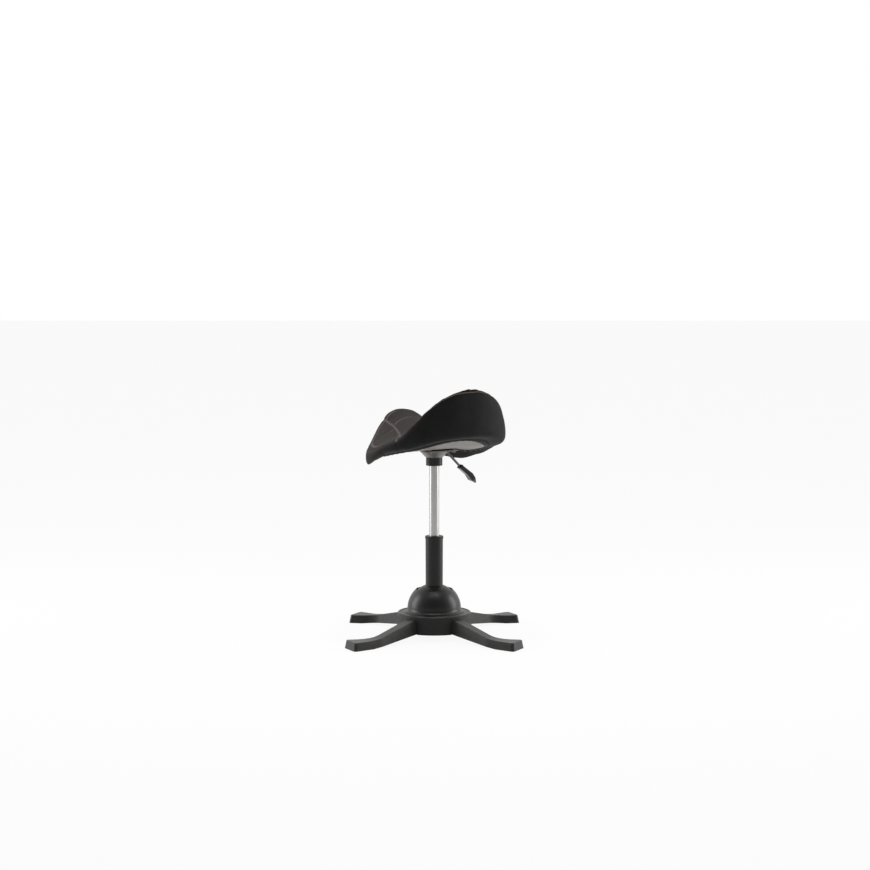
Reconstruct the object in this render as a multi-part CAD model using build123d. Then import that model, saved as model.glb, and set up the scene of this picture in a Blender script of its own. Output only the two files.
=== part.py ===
from build123d import *
from math import cos, radians, sin, sqrt
import os

# A saddle stool on a low four-legged base. Its gas-lift column tilts on a ball-shaped joint.
# Millimetres, +Z up, origin on the floor under the column. The seat's front points to the far left.

# Fits and clearances
RUN_FIT = 0.05           # radial play of a turning pin or a sliding rod
SEAT_FIT = 0.15          # radial play of pieces that are fixed together
SOFT_GAP = 0.4           # play around foam and rubber

# Base hub: a moulded ring with a cup in its middle that carries the tilt joint
HUB_R = 104.0
HUB_BOTTOM = 18.0        # height of the hub's underside above the floor
HUB_HEIGHT = 51.0
HUB_WALL = 6.0
HUB_PLATE = 8.0          # thickness of the hub's top
HUB_FLARE = 2.5          # how far the wall leans out towards its foot
HUB_EDGE = 2.0           # chamfer round the hub's rim
LIP_WIDTH = 5.0          # raised lip round the hub's top
LIP_HEIGHT = 1.5
WINDOW_DEPTH = 36.0      # radial length of the cut that lets a leg through the wall
CUP_R = 68.0             # outer radius of the cup
CUP_WALL = 6.0
CUP_RISE = 21.0          # cup above the hub's rim
PIVOT_ABOVE_HUB = 9.0    # ball centre above the hub's rim
COVER_THICK = 3.0        # plate that closes the hub underneath
COVER_SCREW_COUNT = 4
COVER_SCREW_R = 2.0
COVER_SCREW_HEAD_R = 4.0
COVER_SCREW_HEAD = 1.6
COVER_SCREW_LENGTH = 14.0
COVER_BOSS_R = 6.0

# Legs: box arms whose paddle feet turn aside; the sides lean in from their widths on the floor
LEG_SPREAD = 39.0        # degrees of each arm from the front-to-back line
ARM_ROOT_WIDTH = 48.0
ARM_KNEE_WIDTH = 36.0
ARM_DRAFT = 8.0          # degrees that the sides lean in
ARM_LENGTH = 146.0       # from the hub to the knee
FOOT_TURN = 25.0         # degrees that the foot turns aside
FOOT_LENGTH = 86.0       # from the knee to the end of the foot
FOOT_END_WIDTH = 76.0
ARM_TOP = 59.0           # top of the arm at the hub
KNEE_TOP = 27.0
FOOT_TOP = 24.0
ARM_LOW = 19.5           # underside of the arm at the hub
FOOT_LOW = 1.0           # underside of the foot
KNEE_RUN = 30.0          # length over which the top levels out past the knee
KNEE_SOFT = 180.0        # rounding of the knee seen from the side
FLARE_SOFT = 70.0        # rounding of the foot's flare seen from above
CORNER_SOFT = 8.0        # rounding of the foot's end corners
LEG_EDGE = 2.0
UPRIGHT = 0.8            # slope from which an edge counts as upright
ACROSS = 0.99            # slope from which an edge counts as square to the leg
TONGUE_LOW = 24.0        # underside of the tongue inside the hub
LEG_BOLT_R = 3.0
LEG_BOLT_HEAD_R = 5.0
LEG_BOLT_HEAD = 4.0
LEG_BOLT_START = 9.0     # first bolt from the tongue's end
LEG_BOLT_SPACING = 13.0
LEG_BOLT_BITE = 6.0      # depth of the bolt in the hub's top
PAD_R = 14.0
PAD_SUNK = 1.5
PAD_FROM_END = 34.0

# Dome cover over the tilt joint
DOME_R = 76.0
DOME_WALL = 3.0
DOME_MOUTH_R = 51.5
FLANGE_R = 84.0
FLANGE_THICK = 1.5
FLARE_RISE = 13.0        # height over which the dome flares out to its flange
DOME_SCREW_COUNT = 4
DOME_SCREW_R = 1.5
DOME_SCREW_HEAD_R = 3.0
DOME_SCREW_HEAD = 2.0
DOME_SCREW_BITE = 3.5

# Tilt joint: a cross ring between two pairs of pins
RING_R = 48.0
RING_BORE_R = 39.0
RING_HEIGHT = 24.0
PIN_COUNT = 2            # pins of each pair, opposite each other
PIN_R = 6.0
BUSH_WALL = 2.5
BEARING_BOSS_R = 13.0
BEARING_BOSS_REACH = 10.0
PIN_SINK = 1.0           # how far a pin stays short of its bush's end
SOCKET_R = 34.0
SOCKET_HEIGHT = 36.0
SOCKET_PIN_DEPTH = 8.0
CAP_R = 71.5             # ball-shaped cap that closes the dome's mouth
CAP_WALL = 3.0
CAP_EDGE_ANGLE = 62.0    # from the top down to the cap's edge
CAP_SLEEVE_R = 27.0
BUFFER_BORE_R = 38.0     # rubber ring that stops the column's foot
BUFFER_HEIGHT = 20.0

# Gas-lift column
TUBE_TOP_R = 24.8
TUBE_FOOT_R = 23.9
TUBE_WALL = 2.0
TUBE_FOOT_DROP = 50.0    # tube's foot below the ball centre
TUBE_LENGTH = 254.5
END_PLATE_THICK = 4.0
END_PLATE_RAISE = 4.0    # end plate above the tube's foot
GUIDE_LENGTH = 90.0
GUIDE_LIP = 3.0
ROD_R = 5.0
CLIP_R = 8.5
CLIP_THICK = 2.0
WASHER_R = 16.0
WASHER_THICK = 2.5
BALL_R = 3.0
BALL_COUNT = 10
BUMPER_R = 12.0
BUMPER_HEIGHT = 8.0
CYLINDER_R = 14.0
CYLINDER_WALL = 2.5
CYLINDER_OVERLAP = 60.0  # cylinder inside the tube when fully up
CYLINDER_SHOWN = 204.0   # bright cylinder between tube and collar
VALVE_BLOCK = 24.0       # solid head at the cylinder's top
END_GUIDE_LENGTH = 14.0
PISTON_THICK = 12.0
PISTON_PLAY = 2.0        # between piston and end guide when fully up
ROD_SHORT = 1.0          # rod's foot above the tube's foot
BUTTON_R = 4.0
BUTTON_LENGTH = 18.0

# Seat socket, plate and pan
COLLAR_R = 23.2
COLLAR_HEIGHT = 23.5
NECK_WALL = 5.0
NECK_SHORT = 1.0         # neck's foot above the collar's foot
CONE_FOOT_R = 24.7
CONE_TOP_R = 44.0
CONE_HEIGHT = 19.5
CONE_FLOOR = 6.0         # metal under the cylinder's head
CONE_WALL = 6.0
PLATE_SIDE = 104.0
PLATE_THICK = 3.0
PLATE_CORNER = 12.0
PLATE_BOLT_SPACING = 78.0
PLATE_BOLT_R = 4.0
PLATE_BOLT_HEAD_R = 6.5
PLATE_BOLT_HEAD = 5.0
PLATE_BOLT_BITE = 9.0
NUT_R = 5.5
NUT_LENGTH = 10.0
PAN_R = 150.0
PAN_THICK = 12.0
PAN_BULGE = 0.2          # the pan's edge is barely rounded
PAN_HOLLOW = 36.0        # room under the pan inside the cushion's rim
PAN_PAD_SIDE = 110.0     # flat seat moulded under the pan for the plate
SEAT_YAW = 31.5          # turn of the seat about the column

# Cushion, described by angle from its front: heights over the plate's top face
SEAT_R = 193.0
REAR_SPREAD = 9.0        # extra reach of the rear flanks
SPREAD_FROM = 78.0       # angles where that begins and peaks
SPREAD_PEAK = 136.0
RIM_TOP = ((0, 100), (12, 93), (25, 65), (34, 32), (44, 1), (56, -6), (78, 3), (101, 27), (117, 49),
           (129, 81), (141, 120), (152, 153), (168, 177), (180, 184))
RIM_LOW = ((0, 51), (16, 30), (30, -22), (46, -50), (63, -45), (77, -29), (93, -9), (110, 6),
           (124, 15), (133, 27), (143, 37), (158, 44), (180, 46))
CROWN = ((0, 101), (51, 80), (79, 65), (90, 62), (101, 65), (116, 77), (128, 98), (140, 126),
         (150, 155), (168, 179), (180, 186))
UNDER = ((0, 56), (34, 46), (51, 31), (64, 17), (79, 3), (90, 0), (101, 2), (116, 13), (128, 28),
         (140, 41), (180, 49))
SECTION_COUNT = 24
LEAST_ARCH = 0.6         # a section is never quite flat
SIDE_TUCK = 9.0          # how far the sides draw in at the bottom
SIDE_BULGE = 3.0
CHANNEL_WIDTH = 6.0
CHANNEL_DEPTH = 2.5
BORDER_INSET = 16.0      # border seam in from the rim
BORDER_FROM = 8.0        # angles where the border seam runs
BORDER_TO = 132.0
SPLIT_FROM = 19.0        # angles where the long channel meets the rim
SPLIT_TO = 116.0
SPLIT_BEND = (86.0, 62.0)    # across and forward, in the middle of the long channel
CROSS_FORWARD = 131.0    # middle of the front cross channel
CROSS_END = (66.0, 106.0)
WING_ANGLE = 66.0        # where the wing's cross channel leaves the border
WING_END = (81.0, 77.0)

# Height lever on the seat's right
LEVER_PIVOT_R = 39.0
LEVER_PIVOT_DROP = 4.5   # pivot below the plate
LEVER_PLAY = 0.3         # between the lever and the valve button
LEVER_ROD_R = 3.5
LEVER_SLOPE = 45.0
LEVER_ROD_LENGTH = 85.0
LEVER_PIN_R = 1.8
THROUGH = 30.0           # length of a cutter that passes right through a small piece
BRACKET_SIDE = 4.0
BRACKET_LENGTH = 18.0
HANDLE_LENGTH = 72.0
HANDLE_FIRST_WIDTH = 17.6
HANDLE_LAST_WIDTH = 23.0
HANDLE_THICK = 12.0      # at its end cap
HANDLE_POINT = 15.0
HANDLE_TIP_WIDTH = 9.0
HANDLE_BACK = ((43, 11.5), (63, 7.5))     # broken line of its back: along the rod, above it
HANDLE_PALM = ((34, -3), (55, -6))        # broken line of its underside
HANDLE_TIP_RISE = (-0.5, 3.5)             # underside and back of its tip
HANDLE_EDGE = 1.6
HANDLE_SOCKET = 20.0
END_CAP_LENGTH = 5.0

# Heights that follow from the sizes above
HUB_TOP = HUB_BOTTOM + HUB_HEIGHT
PLATE_UNDER = HUB_TOP - HUB_PLATE
PIVOT_Z = HUB_TOP + PIVOT_ABOVE_HUB
CUP_TOP = HUB_TOP + CUP_RISE
CUP_BORE_R = CUP_R - CUP_WALL
COVER_TOP = HUB_BOTTOM + COVER_THICK
TUBE_FOOT = PIVOT_Z - TUBE_FOOT_DROP
TUBE_TOP = TUBE_FOOT + TUBE_LENGTH
SOCKET_TOP = PIVOT_Z + SOCKET_HEIGHT / 2
PLATE_FLOOR = TUBE_FOOT + END_PLATE_RAISE
BEARING_FLOOR = PLATE_FLOOR + END_PLATE_THICK
BEARING_TOP = BEARING_FLOOR + 2 * WASHER_THICK + 2 * BALL_R
CYLINDER_FOOT = TUBE_TOP - CYLINDER_OVERLAP
COLLAR_FOOT = TUBE_TOP + CYLINDER_SHOWN
CONE_FOOT = COLLAR_FOOT + COLLAR_HEIGHT
CONE_TOP = CONE_FOOT + CONE_HEIGHT
SEAT_Z = CONE_TOP + PLATE_THICK
CYLINDER_TOP = CONE_FOOT + CONE_FLOOR
PIVOT_HEIGHT = CONE_TOP - LEVER_PIVOT_DROP
BORE_R = CYLINDER_R - CYLINDER_WALL
FOOT_KNEE = HUB_R + ARM_LENGTH
LEG_ANGLES = (90 - LEG_SPREAD, 90 + LEG_SPREAD, 270 - LEG_SPREAD, 270 + LEG_SPREAD)
LEG_TURNS = (-1, 1, -1, 1)   # side to which each leg's foot turns
LOW = (Align.CENTER, Align.CENTER, Align.MIN)


def rod(radius, bottom, top):
    """A plain round bar standing between two heights."""
    return Pos(0, 0, bottom) * Cylinder(radius, top - bottom, align=LOW)


def ring(outer, inner, bottom, top):
    """A plain round ring standing between two heights."""
    return rod(outer, bottom, top) - rod(inner, bottom, top)


def turned(points):
    """A shape of revolution from its half outline of (radius, height) points."""
    return revolve(Plane.XZ * make_face(Polyline(*points, close=True)), Axis.Z)


def around(count, piece, first=0.0):
    """Copies of a piece, evenly turned about the column."""
    return [Rot(0, 0, first + step * 360 / count) * piece for step in range(count)]


def on_legs(piece):
    """Copies of a piece, one for each leg's direction."""
    return [Rot(0, 0, angle) * piece for angle in LEG_ANGLES]


def along_x(radius, start, end, height):
    """A round bar along X at one height."""
    bar = Cylinder(radius, end - start, align=LOW)
    return Pos(start, 0, height) * Rot(0, 90, 0) * bar


def save(name, *pieces):
    """Write one node, made of one or more separate solids."""
    solids = [solid for piece in pieces for solid in piece.solids()]
    export_step(Compound(children=solids), f"parts/{name}.step")


TONGUE_START = CUP_R + SEAT_FIT
LEG_ROOT = HUB_R + SEAT_FIT


def foot_place(along, across):
    """A place on the foot: along from the knee and across to the side that it turns to."""
    turn = radians(FOOT_TURN)
    return (FOOT_KNEE + along * cos(turn) - across * sin(turn), along * sin(turn) + across * cos(turn))


def leg_plan():
    """Outline of one leg along +X on the floor, with its foot turned to +Y."""
    root = ARM_ROOT_WIDTH / 2
    knee = ARM_KNEE_WIDTH / 2
    far_corner = foot_place(FOOT_LENGTH, -FOOT_END_WIDTH / 2)
    near_corner = foot_place(FOOT_LENGTH, FOOT_END_WIDTH / 2)
    outline = make_face(Polyline(
        (TONGUE_START, -root), (LEG_ROOT, -root), (FOOT_KNEE, -knee), far_corner, near_corner,
        (FOOT_KNEE, knee), (LEG_ROOT, root), (TONGUE_START, root), close=True))
    return fillet([v for v in outline.vertices() if abs(v.X - FOOT_KNEE) < LEG_EDGE], FLARE_SOFT)


def leg_arm():
    """One leg: its plan pushed up with leaning sides, and its side outline pushed through that."""
    far = FOOT_KNEE + 2 * FOOT_LENGTH
    knee_end = FOOT_KNEE + KNEE_RUN
    profile = make_face(Polyline(
        (TONGUE_START, TONGUE_LOW), (LEG_ROOT, TONGUE_LOW), (LEG_ROOT, ARM_LOW), (knee_end, FOOT_LOW),
        (far, FOOT_LOW), (far, FOOT_TOP), (knee_end, FOOT_TOP), (FOOT_KNEE, KNEE_TOP), (LEG_ROOT, ARM_TOP),
        (TONGUE_START, ARM_TOP), close=True))
    bends = [v for v in profile.vertices() if v.Y > ARM_LOW and LEG_ROOT + LEG_EDGE < v.X < far - LEG_EDGE]
    profile = fillet(bends, KNEE_SOFT)
    upright = extrude(leg_plan(), ARM_TOP + LEG_EDGE, taper=ARM_DRAFT)
    leg = upright & extrude(Plane.XZ * profile, FOOT_END_WIDTH * 2, both=True)
    outer = leg.edges().filter_by(lambda e: e.center().X > LEG_ROOT + LEG_EDGE)
    corners = [e for e in outer if e.center().X > knee_end and abs(e.tangent_at(0.5).Z) > UPRIGHT]
    leg = fillet(corners, CORNER_SOFT)
    outer = leg.edges().filter_by(lambda e: e.center().X > LEG_ROOT + LEG_EDGE)
    crest = [e for e in outer if e.center().Z > FOOT_TOP - LEG_EDGE / 2 and abs(e.tangent_at(0.5).Y) < ACROSS]
    return fillet(crest, LEG_EDGE)


def leg_bolt_places():
    first = TONGUE_START + LEG_BOLT_START
    return [first, first + LEG_BOLT_SPACING]


def foot_pad(play):
    """Round pad under the middle of the foot, or with some play its seat."""
    pad = rod(PAD_R + play, 0, FOOT_LOW + PAD_SUNK)
    return Pos(*foot_place(FOOT_LENGTH - PAD_FROM_END, 0), 0) * pad


def leg():
    """A leg with its bolt holes and the seat of its foot pad, its foot turned to +Y."""
    body = leg_arm()
    for x in leg_bolt_places():
        body -= Pos(x, 0, 0) * rod(LEG_BOLT_R + SEAT_FIT, 0, ARM_TOP + LEG_EDGE)
        body -= Pos(x, 0, 0) * rod(LEG_BOLT_HEAD_R + SEAT_FIT, 0, TONGUE_LOW + LEG_BOLT_HEAD)
    return body - foot_pad(SEAT_FIT)


def turned_legs(piece):
    """A piece of a leg on all four legs, mirrored where the foot turns the other way."""
    both = {1: piece, -1: mirror(piece, Plane.XZ)}
    return [Rot(0, 0, angle) * both[turn] for angle, turn in zip(LEG_ANGLES, LEG_TURNS)]


def leg_bolt(x):
    head = rod(LEG_BOLT_HEAD_R, TONGUE_LOW, TONGUE_LOW + LEG_BOLT_HEAD)
    shank = rod(LEG_BOLT_R, TONGUE_LOW + LEG_BOLT_HEAD, PLATE_UNDER + LEG_BOLT_BITE)
    return Pos(x, 0, 0) * (head + shank)


COVER_SCREW_PLACE = (CUP_R + HUB_R - HUB_WALL) / 2
DOME_SCREW_PLACE = (DOME_R + FLANGE_R) / 2 - DOME_WALL / 2
DOME_SCREW_FIRST = 180 / DOME_SCREW_COUNT / 2
BEARING_INNER = CUP_BORE_R - BEARING_BOSS_REACH


def hub():
    """The moulded hub: rim, top, cup, bearing bosses, screw bosses and the legs' openings."""
    inner = HUB_R - HUB_WALL
    lip = HUB_R - LIP_WIDTH
    body = turned([
        (CUP_BORE_R, COVER_TOP), (CUP_R, COVER_TOP), (CUP_R, PLATE_UNDER), (inner, PLATE_UNDER),
        (inner, HUB_BOTTOM), (HUB_R + HUB_FLARE, HUB_BOTTOM), (HUB_R, HUB_TOP - HUB_EDGE),
        (HUB_R - HUB_EDGE, HUB_TOP), (lip, HUB_TOP), (lip - LIP_HEIGHT, HUB_TOP - LIP_HEIGHT),
        (FLANGE_R + SEAT_FIT, HUB_TOP), (CUP_R, HUB_TOP), (CUP_R, CUP_TOP), (CUP_BORE_R, CUP_TOP)])
    for boss in around(PIN_COUNT, along_x(BEARING_BOSS_R, BEARING_INNER, CUP_R - CUP_WALL / 2, PIVOT_Z)):
        body += boss
    boss = Pos(COVER_SCREW_PLACE, 0, 0) * rod(COVER_BOSS_R, COVER_TOP, PLATE_UNDER)
    for placed in around(COVER_SCREW_COUNT, boss):
        body += placed
    for bore in around(PIN_COUNT, along_x(PIN_R + BUSH_WALL + SEAT_FIT, RING_R, DOME_R, PIVOT_Z)):
        body -= bore
    hole = rod(COVER_SCREW_R + SEAT_FIT, HUB_BOTTOM, COVER_TOP + COVER_SCREW_LENGTH)
    for pilot in around(COVER_SCREW_COUNT, Pos(COVER_SCREW_PLACE, 0, 0) * hole):
        body -= pilot
    hole = Pos(DOME_SCREW_PLACE, 0, 0) * rod(DOME_SCREW_R + SEAT_FIT, PLATE_UNDER - HUB_PLATE, CUP_TOP)
    for pilot in around(DOME_SCREW_COUNT, hole, DOME_SCREW_FIRST):
        body -= pilot
    opening_plan = Rectangle(WINDOW_DEPTH, ARM_ROOT_WIDTH + 2 * SEAT_FIT)
    window = extrude(opening_plan, ARM_TOP + SEAT_FIT, taper=ARM_DRAFT)
    for opening in on_legs(Pos(HUB_R, 0, 0) * window):
        body -= opening
    for x in leg_bolt_places():
        hole = Pos(x, 0, 0) * rod(LEG_BOLT_R + SEAT_FIT, PLATE_UNDER - HUB_PLATE, PLATE_UNDER + LEG_BOLT_BITE)
        for pilot in on_legs(hole):
            body -= pilot
    return body


def bottom_cover():
    plate = rod(HUB_R - HUB_WALL - SOFT_GAP, HUB_BOTTOM, COVER_TOP)
    hole = rod(COVER_SCREW_R + SEAT_FIT, HUB_BOTTOM, COVER_TOP)
    sink = rod(COVER_SCREW_HEAD_R + SEAT_FIT, HUB_BOTTOM, HUB_BOTTOM + COVER_SCREW_HEAD)
    for cut in around(COVER_SCREW_COUNT, Pos(COVER_SCREW_PLACE, 0, 0) * (hole + sink)):
        plate -= cut
    return plate


def cover_screw():
    head = rod(COVER_SCREW_HEAD_R, HUB_BOTTOM, HUB_BOTTOM + COVER_SCREW_HEAD)
    shank = rod(COVER_SCREW_R, HUB_BOTTOM, HUB_BOTTOM + COVER_SCREW_LENGTH)
    return Pos(COVER_SCREW_PLACE, 0, 0) * (head + shank)


def dome():
    """Half-ball cover with a round mouth, flared out at its foot to a flange on the hub's top."""
    rise = HUB_TOP + FLARE_RISE
    neck = sqrt(DOME_R ** 2 - (rise - PIVOT_Z) ** 2)
    edge = HUB_TOP + FLANGE_THICK
    sweep = ((neck + FLANGE_R) / 2 - FLANGE_THICK, (edge + rise) / 2 - FLANGE_THICK)
    skirt = Polyline((neck, rise), (neck - DOME_WALL, rise), (neck - DOME_WALL, HUB_TOP), (FLANGE_R, HUB_TOP),
                     (FLANGE_R, edge)) + ThreePointArc((FLANGE_R, edge), sweep, (neck, rise))
    shell = Pos(0, 0, PIVOT_Z) * Sphere(DOME_R)
    shell &= rod(DOME_R + DOME_WALL, HUB_TOP, PIVOT_Z + DOME_R)
    shell += revolve(Plane.XZ * make_face(skirt), Axis.Z)
    shell -= Pos(0, 0, PIVOT_Z) * Sphere(DOME_R - DOME_WALL)
    shell -= rod(DOME_MOUTH_R, PIVOT_Z, PIVOT_Z + DOME_R)
    hole = Pos(DOME_SCREW_PLACE, 0, 0) * rod(DOME_SCREW_R + SEAT_FIT, HUB_TOP, HUB_TOP + DOME_SCREW_BITE)
    for pilot in around(DOME_SCREW_COUNT, hole, DOME_SCREW_FIRST):
        shell -= pilot
    return shell


def dome_screw():
    head = rod(DOME_SCREW_HEAD_R, PLATE_UNDER - DOME_SCREW_HEAD, PLATE_UNDER)
    shank = rod(DOME_SCREW_R, PLATE_UNDER, HUB_TOP + DOME_SCREW_BITE)
    return Pos(DOME_SCREW_PLACE, 0, 0) * (head + shank)


def bush_between(start, end):
    """A plain bearing bush along X at the ball centre."""
    outer = along_x(PIN_R + BUSH_WALL, start, end, PIVOT_Z)
    return outer - along_x(PIN_R + RUN_FIT, start, end, PIVOT_Z)


def gimbal_ring():
    body = ring(RING_R, RING_BORE_R, PIVOT_Z - RING_HEIGHT / 2, PIVOT_Z + RING_HEIGHT / 2)
    for bore in around(2 * PIN_COUNT, along_x(PIN_R + SEAT_FIT, SOCKET_R, CUP_R, PIVOT_Z)):
        body -= bore
    return body


def tube_radius(height):
    """Outer radius of the gently tapered tube at a height."""
    return TUBE_FOOT_R + (TUBE_TOP_R - TUBE_FOOT_R) * (height - TUBE_FOOT) / TUBE_LENGTH


def taper_bar(extra, bottom, top):
    """The tube's outside between two heights, made larger by a small play."""
    return turned([
        (0, bottom), (tube_radius(bottom) + extra, bottom), (tube_radius(top) + extra, top), (0, top)])


TUBE_BORE_R = TUBE_FOOT_R - TUBE_WALL


def column_socket():
    body = rod(SOCKET_R, PIVOT_Z - SOCKET_HEIGHT / 2, SOCKET_TOP)
    body -= taper_bar(SEAT_FIT, PIVOT_Z - SOCKET_HEIGHT / 2, SOCKET_TOP)
    bush_seat = along_x(PIN_R + BUSH_WALL + SEAT_FIT, SOCKET_R - SOCKET_PIN_DEPTH, RING_R, PIVOT_Z)
    for bore in around(PIN_COUNT, bush_seat, 90):
        body -= bore
    return body


def ball_cap():
    """Ball-shaped cap with a sleeve that stands on the socket."""
    edge = PIVOT_Z + CAP_R * cos(radians(CAP_EDGE_ANGLE))
    shell = Pos(0, 0, PIVOT_Z) * (Sphere(CAP_R) - Sphere(CAP_R - CAP_WALL))
    shell &= rod(DOME_R, edge, PIVOT_Z + CAP_R)
    shell += rod(CAP_SLEEVE_R, SOCKET_TOP, PIVOT_Z + sqrt(CAP_R ** 2 - CAP_SLEEVE_R ** 2))
    return shell - taper_bar(SEAT_FIT, SOCKET_TOP, PIVOT_Z + CAP_R)


def column_tube():
    return taper_bar(0, TUBE_FOOT, TUBE_TOP) - rod(TUBE_BORE_R, TUBE_FOOT, TUBE_TOP)


def guide_bush():
    body = rod(TUBE_BORE_R - SEAT_FIT, TUBE_TOP - GUIDE_LENGTH, TUBE_TOP)
    body += rod(TUBE_TOP_R, TUBE_TOP, TUBE_TOP + GUIDE_LIP)
    return body - rod(CYLINDER_R + RUN_FIT * 2, TUBE_TOP - GUIDE_LENGTH, TUBE_TOP + GUIDE_LIP)


def thrust_ball():
    middle = BEARING_FLOOR + WASHER_THICK + BALL_R
    return Pos((ROD_R + WASHER_R) / 2, 0, middle) * Sphere(BALL_R - RUN_FIT)


PISTON_FOOT = CYLINDER_FOOT + END_GUIDE_LENGTH + PISTON_PLAY


def gas_cylinder():
    body = rod(CYLINDER_R, CYLINDER_FOOT, CYLINDER_TOP)
    body -= rod(BORE_R, CYLINDER_FOOT, CYLINDER_TOP - VALVE_BLOCK)
    return body - rod(BUTTON_R + RUN_FIT, CYLINDER_TOP - VALVE_BLOCK, CYLINDER_TOP)


def valve_button():
    top = PIVOT_HEIGHT - LEVER_ROD_R - LEVER_PLAY
    return rod(BUTTON_R, top - BUTTON_LENGTH, top)


NECK_R = CYLINDER_R + SEAT_FIT + NECK_WALL


def seat_cone():
    """Pressed socket: a neck that grips the cylinder and a flared cup under the plate."""
    bore = CYLINDER_R + SEAT_FIT
    neck_foot = COLLAR_FOOT + NECK_SHORT
    body = turned([
        (bore, neck_foot), (NECK_R, neck_foot), (NECK_R, CONE_FOOT), (CONE_FOOT_R, CONE_FOOT),
        (CONE_TOP_R, CONE_TOP), (CONE_TOP_R - CONE_WALL, CONE_TOP),
        (CONE_FOOT_R - CONE_WALL / 2, CYLINDER_TOP), (bore, CYLINDER_TOP)])
    slot_width = 2 * (LEVER_ROD_R + BRACKET_SIDE + 2 * SOFT_GAP)
    slot = Box(CONE_TOP_R, slot_width, CONE_HEIGHT, align=(Align.MIN, Align.CENTER, Align.MIN))
    return body - Pos(CONE_FOOT_R - CONE_WALL, 0, CYLINDER_TOP) * slot


def plate_corners(piece):
    """A piece at each of the plate's four bolts."""
    half = PLATE_BOLT_SPACING / 2
    return [Pos(x, y, 0) * piece for x in (-half, half) for y in (-half, half)]


def seat_plate():
    square = fillet(Rectangle(PLATE_SIDE, PLATE_SIDE).vertices(), PLATE_CORNER)
    body = Pos(0, 0, CONE_TOP) * extrude(square, PLATE_THICK)
    for hole in plate_corners(rod(PLATE_BOLT_R + SEAT_FIT, CONE_TOP, SEAT_Z)):
        body -= hole
    return body


def plate_bolt():
    return rod(PLATE_BOLT_HEAD_R, CONE_TOP - PLATE_BOLT_HEAD, CONE_TOP) + rod(
        PLATE_BOLT_R, CONE_TOP, SEAT_Z + PLATE_BOLT_BITE)


def insert_nut():
    return ring(NUT_R, PLATE_BOLT_R + SEAT_FIT, SEAT_Z, SEAT_Z + NUT_LENGTH)


def smooth(table, angle):
    """Height at an angle, on a smooth curve through (angle, height) pairs."""
    last = len(table) - 1
    k = max(0, min(last - 1, sum(1 for a, _ in table if a <= angle) - 1))

    def slope(i):
        (a0, h0), (a1, h1) = table[max(i - 1, 0)], table[min(i + 1, last)]
        return 0.0 if i in (0, last) else (h1 - h0) / (a1 - a0)

    (a0, h0), (a1, h1) = table[k], table[k + 1]
    span = a1 - a0
    t = (angle - a0) / span
    ease = t * t * (3 - 2 * t)
    return (h0 + (h1 - h0) * ease + span * slope(k) * t * (1 - t) ** 2
            + span * slope(k + 1) * t * t * (t - 1))


def arched(half, edge, middle, forward, low_half, low_edge, low_middle, bulge):
    """One cross section of the seat: arched top, bowed sides and arched underside."""
    side = (half + low_half) / 2 + bulge
    level = (edge + low_edge) / 2
    outline = (
        ThreePointArc((-half, edge), (0, middle), (half, edge))
        + ThreePointArc((half, edge), (side, level), (low_half, low_edge))
        + ThreePointArc((low_half, low_edge), (0, low_middle), (-low_half, low_edge))
        + ThreePointArc((-low_half, low_edge), (-side, level), (-half, edge)))
    return Plane((0, forward, SEAT_Z), x_dir=(1, 0, 0), z_dir=(0, -1, 0)) * make_face(outline)


def section_angles():
    """Angles from the front at which sections are taken, the same from both ends."""
    return [180 * (k + 0.5) / SECTION_COUNT for k in range(SECTION_COUNT)]


def reach(angle):
    """Plan radius of the cushion at an angle from its front."""
    spread = max(0.0, angle - SPREAD_FROM) / (SPREAD_PEAK - SPREAD_FROM)
    return SEAT_R + REAR_SPREAD * sin(radians(90 * spread)) ** 2


def tucked(half):
    """Half width of a section's underside."""
    return half - min(SIDE_TUCK, half / 3)


def cushion_outer():
    """The whole cushion's outside, without the hollow for the pan."""
    sections = []
    for angle in section_angles():
        half = reach(angle) * sin(radians(angle))
        rim = smooth(RIM_TOP, angle)
        low = smooth(RIM_LOW, angle)
        sections.append(arched(
            half, rim, max(smooth(CROWN, angle), rim + LEAST_ARCH), reach(angle) * cos(radians(angle)),
            tucked(half), low, max(smooth(UNDER, angle), low + LEAST_ARCH), SIDE_BULGE))
    return loft(sections, ruled=True)


def angle_at(forward):
    """Angle from the front at which the rim lies so far forward."""
    first, last = 0.0, 180.0
    for _ in range(40):
        middle = (first + last) / 2
        if reach(middle) * cos(radians(middle)) > forward:
            first = middle
        else:
            last = middle
    return first


def underside(forward, across):
    """Height of the seat's underside at a place, over the plate."""
    angle = angle_at(forward)
    half = tucked(reach(angle) * sin(radians(angle)))
    low = smooth(RIM_LOW, angle)
    arch = max(smooth(UNDER, angle) - low, LEAST_ARCH)
    radius = (half ** 2 + arch ** 2) / (2 * arch)
    return low + arch - radius + sqrt(radius ** 2 - across ** 2)


def pan_block(play, deeper):
    """The pan's outside, or with some play its hollow in the cushion."""
    sections = []
    for angle in section_angles():
        half = PAN_R * sin(radians(angle))
        forward = PAN_R * cos(radians(angle))
        middle = underside(forward, 0)
        edge = min(underside(forward, half), middle - LEAST_ARCH)
        sections.append(arched(
            half + play, edge + PAN_THICK + play, middle + PAN_THICK + play, forward * (1 + play / PAN_R),
            half + play, edge - deeper, middle - deeper, PAN_BULGE))
    return loft(sections, ruled=True)


def rim_point(angle, inset, side):
    """A point of the plan at an angle from the front, on one side."""
    length = reach(angle) - inset
    return (side * length * sin(radians(angle)), length * cos(radians(angle)))


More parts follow.
